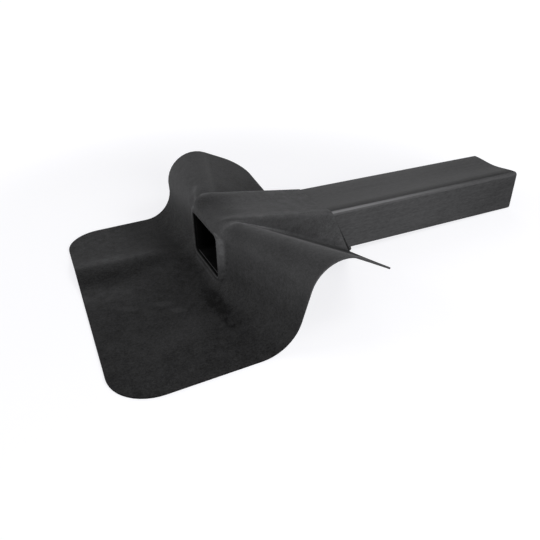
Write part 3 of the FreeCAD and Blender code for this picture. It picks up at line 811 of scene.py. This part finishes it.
def close_mesh(shell, *loops):
    """A mesh of the shell, with its last two open loops bridged and doubled points merged."""
    work = bmesh.new()
    # Each point carries the light or shade painted into the rubber there, which the rubber's material reads
    wear = work.verts.layers.float.new("wear")
    verts = [work.verts.new(point) for point in shell.points]
    for vert, value in zip(verts, shell.wear):
        vert[wear] = value
    bore = {verts[index] for index in shell.bore}
    for face in shell.faces:
        if len(set(face)) > 2:
            work.faces.new([verts[index] for index in face])
    edges = []
    for loop in loops:
        for first, second in zip(loop, loop[1:] + loop[:1]):
            edges.append(work.edges.get((verts[first], verts[second])))
    bmesh.ops.bridge_loops(work, edges=edges)
    soften(verts, shell.loose)
    for face in work.faces:
        face.material_index = int(bore.issuperset(face.verts))
    bmesh.ops.remove_doubles(work, verts=work.verts, dist=MERGE_WITHIN * MM)
    bmesh.ops.recalc_face_normals(work, faces=work.faces)
    mesh = bpy.data.meshes.new("flange")
    work.to_mesh(mesh)
    work.free()
    return mesh


class Value:
    """A number that a node gives, which can be reckoned with."""

    def __init__(self, tree, socket):
        self.tree = tree
        self.socket = socket

    def math(self, operation, first, second):
        return self.tree.node("ShaderNodeMath", {"operation": operation}, {0: first, 1: second})

    def __add__(self, other):
        return self.math("ADD", self, other)

    def __radd__(self, other):
        return self.math("ADD", other, self)

    def __sub__(self, other):
        return self.math("SUBTRACT", self, other)

    def __rsub__(self, other):
        return self.math("SUBTRACT", other, self)

    def __mul__(self, other):
        return self.math("MULTIPLY", self, other)

    def __rmul__(self, other):
        return self.math("MULTIPLY", other, self)

    def __truediv__(self, other):
        return self.math("DIVIDE", self, other)

    def __rtruediv__(self, other):
        return self.math("DIVIDE", other, self)

    def __lt__(self, other):
        return self.math("LESS_THAN", self, other)

    def __gt__(self, other):
        return self.math("GREATER_THAN", self, other)

    def __abs__(self):
        return self.math("ABSOLUTE", self, 0)

    def at_least(self, low):
        return self.math("MAXIMUM", self, low)

    def at_most(self, high):
        return self.math("MINIMUM", self, high)


class Tree:
    """A node tree that grows from Python."""

    def __init__(self, tree):
        self.tree = tree

    def node(self, kind, settings, sockets, output=0):
        """Adds a node: its settings first, then the values or links of its sockets. Returns one output."""
        node = self.tree.nodes.new(kind)
        for name, setting in settings.items():
            setattr(node, name, setting)
        for name, value in sockets.items():
            self.feed(node.inputs[name], value)
        return Value(self, node.outputs[output])

    def feed(self, socket, value):
        """Sets a socket to a value, or links it to one or to each of a list."""
        for item in value if isinstance(value, list) else [value]:
            if isinstance(item, Value):
                self.tree.links.new(item.socket, socket)
            else:
                socket.default_value = item

    def ramp(self, value, low, high):
        """A smooth step from 0 at low to 1 at high."""
        return self.node("ShaderNodeMapRange", {"interpolation_type": "SMOOTHSTEP"},
                         {"Value": value, "From Min": low, "From Max": high})

    def parts(self, vector):
        """The three parts of a vector."""
        return [self.node("ShaderNodeSeparateXYZ", {}, {0: vector}, axis) for axis in range(3)]


# Noise: its middle level, and no stretch; greys are a little bluish
NOISE_MIDDLE = 0.5
EVEN = (1, 1, 1)
COOL = 1.03


class Finish(Tree):
    """A procedural material: its shader and the patterns that feed it."""

    def __init__(self, name):
        self.material = bpy.data.materials.new(name)
        self.material.use_nodes = True
        super().__init__(self.material.node_tree)
        self.shader = self.tree.nodes["Principled BSDF"]
        self.place = self.node("ShaderNodeTexCoord", {}, {}, "Object")

    def set(self, **sockets):
        """Feeds the shader's sockets, named with underscores for spaces."""
        for name, value in sockets.items():
            self.feed(self.shader.inputs[name.replace("_", " ")], value)

    def span(self, value, low, high):
        """A smooth step between two places in millimetres."""
        return self.ramp(value, low * MM, high * MM)

    def noise(self, size, detail, roughness, stretch=EVEN):
        """Cloudy noise from 0 to 1 with patches about as wide as size, in millimetres."""
        place = self.place
        if stretch != EVEN:
            scale = tuple(1 / value for value in stretch)
            place = self.node("ShaderNodeMapping", {}, {"Vector": place, "Scale": scale})
        return self.node("ShaderNodeTexNoise", {}, {
            "Vector": place, "Scale": 1 / (size * MM), "Detail": detail, "Roughness": roughness})

    def clouded(self, tone, layers):
        """Adds layers of noise to a tone. Returns the new tone and the layers by name."""
        made = {}
        for name, (size, detail, roughness, stretch, change) in layers.items():
            made[name] = self.noise(size, detail, roughness, stretch)
            tone = tone + (made[name] - NOISE_MIDDLE) * change
        return tone, made

    def grey(self, share, dark, light):
        """A near-neutral grey between two levels."""
        return self.node("ShaderNodeMix", {"data_type": "RGBA", "clamp_factor": False}, {
            0: share, 6: (dark, dark, dark * COOL, 1), 7: (light, light, light * COOL, 1)}, 2)

    def bump(self, height, strength, distance):
        return self.node("ShaderNodeBump", {}, {
            "Height": height, "Strength": strength, "Distance": distance * MM})


# Rubber: its tone runs from 0 to 1 between two greys, and grows from the roof up to a height as painted
# light on the higher surfaces.
# Layers of noise: patch size, detail, roughness, stretch, change of tone. Bump: strength, distance
RUBBER_TONE, RAISED_TONE, RAISED_TOP = 0.325, 0.6, 100
RUBBER_LAYERS = {
    "cloud": (45, 4, 0.55, EVEN, 0.35),
    "mottle": (11, 4, 0.65, EVEN, 0.5),
    "fine": (3.2, 3, 0.6, EVEN, 0.6),
    "grain": (1.4, 2, 0.5, EVEN, 0.5),
}
RUBBER_GREYS = (0.0, 0.058)
LEAST_TONE = 0.05
# How strongly the light and shade painted at each point shows, and how much the mottle varies it
PAINTED_SHADING_TONE, PAINTED_SHADING_MOTTLE = 0.6, 1.2
RUBBER_ROUGHNESS, RUBBER_ROUGHER = 0.6, 0.2
RUBBER_FINE_BUMP, RUBBER_BUMP = 1.5, (0.3, 0.3)
RUBBER_SPECULAR = 0.07

# Marks on the apron: first painted shade running from the mouth's foot along the front wing's bend, then
# three pale smudges, a paler and a darker patch. Place, half length and half width in millimetres, turn in
# degrees, change of tone
MARKS = (
    (-6, -88, 58, 14, 90, -0.22),
    (-114, -40, 18, 7, -30, 0.2),
    (-69, -51, 16, 7, -20, 0.2),
    (-56, -74, 14, 7, -30, 0.2),
    (-60, -120, 60, 30, 20, 0.12),
    (-20, 20, 40, 18, 60, -0.1),
)
MARK_RAGGED = 2

# Blotches high up on the collar's taper: run along X, height, middle level of the mottle, change of tone
BLOTCH_RUN, BLOTCH_HEIGHT = (110, 170), (55, 75)
BLOTCH_MIDDLE, BLOTCH_TONE = 0.45, 0.5


def rubber_finish():
    """Matt moulded rubber: mottled charcoal, paler with height as painted light, with light and shade
    painted in per point and marks on the apron.
    """
    finish = Finish("moulded rubber")
    x, y, height = finish.parts(finish.place)
    # Painted light: the rubber is paler the higher it stands, as its upper surfaces catch more light
    raised = RUBBER_TONE + finish.span(height, 0, RAISED_TOP) * RAISED_TONE
    tone, layers = finish.clouded(raised, RUBBER_LAYERS)
    mottle = layers["mottle"]
    # Light and shade painted per point on the flange, varied by the mottle
    wear = finish.node("ShaderNodeAttribute", {"attribute_name": "wear"}, {}, "Fac")
    tone = tone + wear * (PAINTED_SHADING_TONE + (mottle - NOISE_MIDDLE) * PAINTED_SHADING_MOTTLE)
    for mark_x, mark_y, length, width, turn, change in MARKS:
        away_x = x - mark_x * MM
        away_y = y - mark_y * MM
        along = (away_x * cos(radians(turn)) + away_y * sin(radians(turn))) / (length * MM)
        across = (away_y * cos(radians(turn)) - away_x * sin(radians(turn))) / (width * MM)
        far = along * along + across * across + (mottle - NOISE_MIDDLE) * MARK_RAGGED
        tone = tone + (1 - finish.ramp(far, 0.0, 1.0)) * change
    blotch = finish.span(x, *BLOTCH_RUN) * finish.span(height, *BLOTCH_HEIGHT)
    tone = tone + blotch * (mottle - BLOTCH_MIDDLE) * BLOTCH_TONE
    relief = layers["grain"] + layers["fine"] * RUBBER_FINE_BUMP
    finish.set(Base_Color=finish.grey(tone.at_least(LEAST_TONE), *RUBBER_GREYS),
               Roughness=RUBBER_ROUGHNESS + mottle * RUBBER_ROUGHER,
               Normal=finish.bump(relief, *RUBBER_BUMP), Specular_IOR_Level=RUBBER_SPECULAR)
    return finish.material


# Plastic of the tube, as for the rubber; its layers are stretched along the run
TUBE_TONE = 0.85
TUBE_LAYERS = {
    "streak": (5, 3, 0.6, (40, 1, 1), 0.4),
    "cloud": (50, 4, 0.55, EVEN, 0.3),
    "fine": (2.6, 3, 0.6, (3, 1, 1), 0.7),
}
TUBE_GREYS = (0.004, 0.056)
TUBE_ROUGHNESS, TUBE_ROUGHER = 0.45, 0.12
TUBE_FINE_BUMP, TUBE_BUMP = 0.5, (0.15, 0.2)
TUBE_SPECULAR = 0.035

# Painted light and shade by place on the tube: a painted sheen on its top, a painted highlight along its
# upper edges near the collar, a painted shade band on the top beside the front edge, painted shade towards
# the far end. Sizes: distance from the centre line, depth below the top, place along X
TOP_TONE, TOP_BELOW = 0.38, (6, 4)
EDGE_HIGHLIGHT_TONE, EDGE_HIGHLIGHT_SIDE, EDGE_HIGHLIGHT_BELOW, EDGE_HIGHLIGHT_RUN = 1.7, (45.4, 46.8), (2.8, 1.2), (200, 480)
BESIDE_TONE, BESIDE_COMES, BESIDE_GOES = -0.72, (24, 42), (44.3, 45.8)
FAR_TONE, FAR_RUN = -0.25, (330, 540)


def tube_finish():
    """Extruded plastic: smoother than the rubber, faint lines along its run, with a painted highlight along
    its upper edges and a painted sheen and shade by place.
    """
    finish = Finish("extruded plastic")
    x, y, z = finish.parts(finish.place)
    tone, layers = finish.clouded(TUBE_TONE, TUBE_LAYERS)
    level = z + x * tan(TUBE_FALL)
    side = abs(y)

    def above(start, end):
        top = MOUTH_Z + TUBE_HEIGHT
        return finish.span(level, top - start, top - end)

    upside = above(*TOP_BELOW)
    # Painted highlight along the upper edges near the collar, painted shade band on the top beside the front
    # edge, painted shade towards the far end and a painted sheen on the top
    edge_highlight = finish.span(side, *EDGE_HIGHLIGHT_SIDE) * above(*EDGE_HIGHLIGHT_BELOW) * (1 - finish.span(x, *EDGE_HIGHLIGHT_RUN))
    beside = finish.span(0 - y, *BESIDE_COMES) * (1 - finish.span(side, *BESIDE_GOES)) * upside
    tone = tone + edge_highlight * EDGE_HIGHLIGHT_TONE + beside * BESIDE_TONE
    tone = tone + finish.span(x, *FAR_RUN) * FAR_TONE + upside * TOP_TONE
    relief = layers["streak"] + layers["fine"] * TUBE_FINE_BUMP
    finish.set(Base_Color=finish.grey(tone, *TUBE_GREYS),
               Roughness=TUBE_ROUGHNESS + layers["cloud"] * TUBE_ROUGHER,
               Normal=finish.bump(relief, *TUBE_BUMP), Specular_IOR_Level=TUBE_SPECULAR)
    return finish.material


# Grime in the bore: patch size, detail and roughness of its noise
GRIME = (20, 4, 0.6)
BORE_GREYS = (0.002, 0.02)
BORE_ROUGHNESS, BORE_ROUGHER = 0.8, 0.2


def bore_finish():
    """The inside of the mouth and tube: painted shade, near black and without gloss, with a little grime."""
    finish = Finish("bore painted shade")
    grime = finish.noise(*GRIME)
    finish.set(Base_Color=finish.grey(grime, *BORE_GREYS),
               Roughness=BORE_ROUGHNESS + grime * BORE_ROUGHER, Specular_IOR_Level=0)
    return finish.material


BORE = bore_finish()

# Tube mesh: cuts in each corner and side, merging distance, limit for a face that looks inward
CORNER_CUTS = 6
SIDE_CUTS = 11
TUBE_MERGE = 0.01
INWARD = -0.0001


def tube_section(tree, width, height, corner, sag):
    """A rounded rectangle whose top side is bowed in."""
    curve = tree.node("GeometryNodeCurvePrimitiveQuadrilateral", {}, {"Width": width, "Height": height})
    curve = tree.node("GeometryNodeFilletCurve", {"mode": "POLY"}, {
        "Curve": curve, "Count": CORNER_CUTS, "Radius": corner, "Limit Radius": True})
    curve = tree.node("GeometryNodeSubdivideCurve", {}, {"Curve": curve, "Cuts": SIDE_CUTS})
    across, upward, _ = tree.parts(tree.node("GeometryNodeInputPosition", {}, {}))
    middle = 1 - tree.ramp(abs(across), 0.0, width / 2 - corner)
    drop = sag * middle * (upward > 0)
    offset = tree.node("ShaderNodeCombineXYZ", {}, {1: 0 - drop})
    return tree.node("GeometryNodeSetPosition", {}, {"Geometry": curve, "Offset": offset})


def facing_inward(tree):
    """Whether a face of the tube, still upright round its own middle, looks into the bore."""
    place_x, place_y, _ = tree.parts(tree.node("GeometryNodeInputPosition", {}, {}))
    normal_x, normal_y, _ = tree.parts(tree.node("GeometryNodeInputNormal", {}, {}))
    return (place_x * normal_x + place_y * normal_y) < INWARD


def tube_run(sizes):
    """The nodes that run the tube's section out along its length, lay it in its place and finish it."""
    group = bpy.data.node_groups.new("tube run", "GeometryNodeTree")
    tree = Tree(group)
    for name in sizes:
        group.interface.new_socket(name, in_out="INPUT", socket_type="NodeSocketFloat")
    group.interface.new_socket("Geometry", in_out="OUTPUT", socket_type="NodeSocketGeometry")
    given = group.nodes.new("NodeGroupInput")
    width, height, length, wall, corner, sag = [Value(tree, given.outputs[name]) for name in sizes]
    outer = tube_section(tree, width, height, corner, sag)
    inner = tube_section(tree, width - wall * 2, height - wall * 2, corner - wall, sag)
    both = tree.node("GeometryNodeJoinGeometry", {}, {0: [outer, inner]})
    end = tree.node("GeometryNodeFillCurve", {"mode": "TRIANGLES"}, {"Curve": both})
    run = tree.node("ShaderNodeCombineXYZ", {}, {2: length})
    walls = tree.node("GeometryNodeExtrudeMesh", {"mode": "FACES"}, {
        "Mesh": end, "Offset": run, "Individual": False})
    near_end = tree.node("GeometryNodeFlipFaces", {}, {0: end})
    tube = tree.node("GeometryNodeJoinGeometry", {}, {0: [walls, near_end]})
    tube = tree.node("GeometryNodeMergeByDistance", {}, {"Geometry": tube, "Distance": TUBE_MERGE * MM})
    tube = tree.node("GeometryNodeStoreNamedAttribute", {"data_type": "BOOLEAN", "domain": "FACE"}, {
        "Geometry": tube, "Name": "bore", "Value": facing_inward(tree)})
    turn = Matrix(((0, sin(TUBE_FALL), cos(TUBE_FALL)), (1, 0, 0), (0, cos(TUBE_FALL), -sin(TUBE_FALL))))
    start = from_tube(TUBE_START, 0, TUBE_HEIGHT / 2) * MM
    tube = tree.node("GeometryNodeTransform", {}, {
        "Geometry": tube, "Translation": start, "Rotation": turn.to_euler()})
    tube = tree.node("GeometryNodeRealizeInstances", {}, {"Geometry": tube})
    tube = tree.node("GeometryNodeSetMaterial", {}, {"Geometry": tube, "Material": tube_finish()})
    # Faces that look into the bore take its painted shade
    bore = tree.node("GeometryNodeInputNamedAttribute", {"data_type": "BOOLEAN"}, {"Name": "bore"})
    tube = tree.node("GeometryNodeSetMaterial", {}, {"Geometry": tube, "Selection": bore, "Material": BORE})
    tree.feed(group.nodes.new("NodeGroupOutput").inputs[0], tube)
    return group


def add_object(name, data):
    """A new object in the scene."""
    thing = bpy.data.objects.new(name, data)
    bpy.context.scene.collection.objects.link(thing)
    return thing


def make_tube():
    """The outlet tube, from behind the lip to its far end."""
    sizes = {"Width": TUBE_WIDTH, "Height": TUBE_HEIGHT, "Length": TUBE_LENGTH - TUBE_START,
             "Wall": TUBE_WALL, "Corner": TUBE_CORNER, "Sag": TUBE_SAG}
    group = tube_run(sizes)
    piece = add_object("outlet_tube_body", bpy.data.meshes.new("outlet tube"))
    modifier = piece.modifiers.new("tube run", "NODES")
    modifier.node_group = group
    for item in group.interface.items_tree:
        if item.in_out == "INPUT":
            modifier[item.identifier] = sizes[item.name] * MM
    mesh = bpy.data.meshes.new_from_object(piece.evaluated_get(bpy.context.evaluated_depsgraph_get()))
    piece.modifiers.remove(modifier)
    piece.data = mesh
    finish_piece(piece, "outlet_tube")


def make_rubber_flange():
    """The flange with its two finishes: rubber, and the painted shade of the bore inside the mouth."""
    mesh = make_flange()
    mesh.materials.append(rubber_finish())
    mesh.materials.append(BORE)
    piece = add_object("rubber_flange", mesh)
    finish_piece(piece, "flange")


def finish_piece(piece, node):
    """Smooths a piece's faces and sets it in the frame in place of a node."""
    for polygon in piece.data.polygons:
        polygon.use_smooth = True
    piece.data.set_sharp_from_angle(angle=SHARP_ANGLE)
    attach(piece, "root")
    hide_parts(node)


# Camera at the photograph's place
CAMERA_PLACE = Vector((-183.3, -632.3, 395.8)) * MM
CAMERA_YAW = radians(65.1)
CAMERA_PITCH = radians(31.11)
CAMERA_ROLL = radians(-1.94)
CAMERA_LENS = 35.51


def make_camera():
    """The camera, turned by its yaw from +X, its pitch downwards and its roll."""
    flat = cos(CAMERA_PITCH)
    forward = Vector((flat * cos(CAMERA_YAW), flat * sin(CAMERA_YAW), -sin(CAMERA_PITCH)))
    level = Vector((sin(CAMERA_YAW), -cos(CAMERA_YAW), 0))
    right = level * cos(CAMERA_ROLL) + level.cross(forward) * sin(CAMERA_ROLL)
    up = right.cross(forward)
    turn = Matrix((right, up, -forward)).transposed()
    data = bpy.data.cameras.new("camera")
    data.lens = CAMERA_LENS
    camera = add_object("camera", data)
    camera.matrix_world = Matrix.Translation(CAMERA_PLACE) @ turn.to_4x4()
    bpy.context.scene.camera = camera


# Floor, in metres: half its side, and the distances over which its glow in the picture grows to white
FLOOR_HALF = 12
FLOOR_GREY = (0.36, 0.36, 0.36, 1)
FLOOR_ROUGHNESS = 0.9
FLOOR_GLOW = 0.74
GLOW_GROWS = (0.45, 1.2)


def seen_rays(tree):
    """1 for rays that show a surface in the picture, straight or in a gloss; 0 for rays that light it."""
    camera, glossy, clear = [tree.node("ShaderNodeLightPath", {}, {}, name)
                             for name in ("Is Camera Ray", "Is Glossy Ray", "Is Transmission Ray")]
    return (camera + glossy + clear).at_most(1)


def make_floor():
    """A white table top, which the object's shadow greys a little."""
    mesh = bpy.data.meshes.new("floor")
    corners = [(x * FLOOR_HALF, y * FLOOR_HALF, 0) for x, y in ((-1, -1), (1, -1), (1, 1), (-1, 1))]
    mesh.from_pydata(corners, [], [(0, 1, 2, 3)])
    finish = Finish("white table")
    distance = finish.node("ShaderNodeVectorMath", {"operation": "LENGTH"}, {0: finish.place}, "Value")
    glow = FLOOR_GLOW + finish.ramp(distance, *GLOW_GROWS) * (1 - FLOOR_GLOW)
    finish.set(Base_Color=FLOOR_GREY, Roughness=FLOOR_ROUGHNESS, Specular_IOR_Level=0,
               Emission_Color=finish.grey(glow * seen_rays(finish), 0, 1), Emission_Strength=1)
    mesh.materials.append(finish.material)
    floor = add_object("floor", mesh)


# Soft square lamps: place, aim and side in metres, power in watts
LAMPS = {
    "left window": ((-1.35, 0.7, 0.5), (0.1, 0, 0.05), 1.2, 16),
    "back window": ((1.1, 1.2, 0.9), (0.1, 0, 0.05), 0.8, 2.5),
    "right window": ((0.95, -0.5, 1.0), (0.2, 0, 0.05), 0.5, 4),
    "front window": ((0.2, -1.5, 0.45), (0.1, 0, 0.05), 0.8, 24),
}


def make_lamps():
    for name, (place, aim, side, power) in LAMPS.items():
        data = bpy.data.lights.new(name, "AREA")
        data.size = side
        data.energy = power
        lamp = add_object(name, data)
        lamp.location = place
        lamp.rotation_euler = (Vector(aim) - Vector(place)).to_track_quat("-Z", "Y").to_euler()


# Strength of the white world as it lights the object, and as it is seen
WORLD_LIGHT = 0.1
WORLD_SHOWN = 1.0


def make_world():
    world = bpy.data.worlds.new("studio")
    world.use_nodes = True
    tree = Tree(world.node_tree)
    background = world.node_tree.nodes["Background"]
    background.inputs["Color"].default_value = (1, 1, 1, 1)
    strength = WORLD_LIGHT + seen_rays(tree) * (WORLD_SHOWN - WORLD_LIGHT)
    tree.feed(background.inputs["Strength"], strength)
    bpy.context.scene.world = world


make_rubber_flange()
make_tube()
make_camera()
make_floor()
make_world()
make_lamps()
bpy.context.scene.view_settings.view_transform = "Standard"
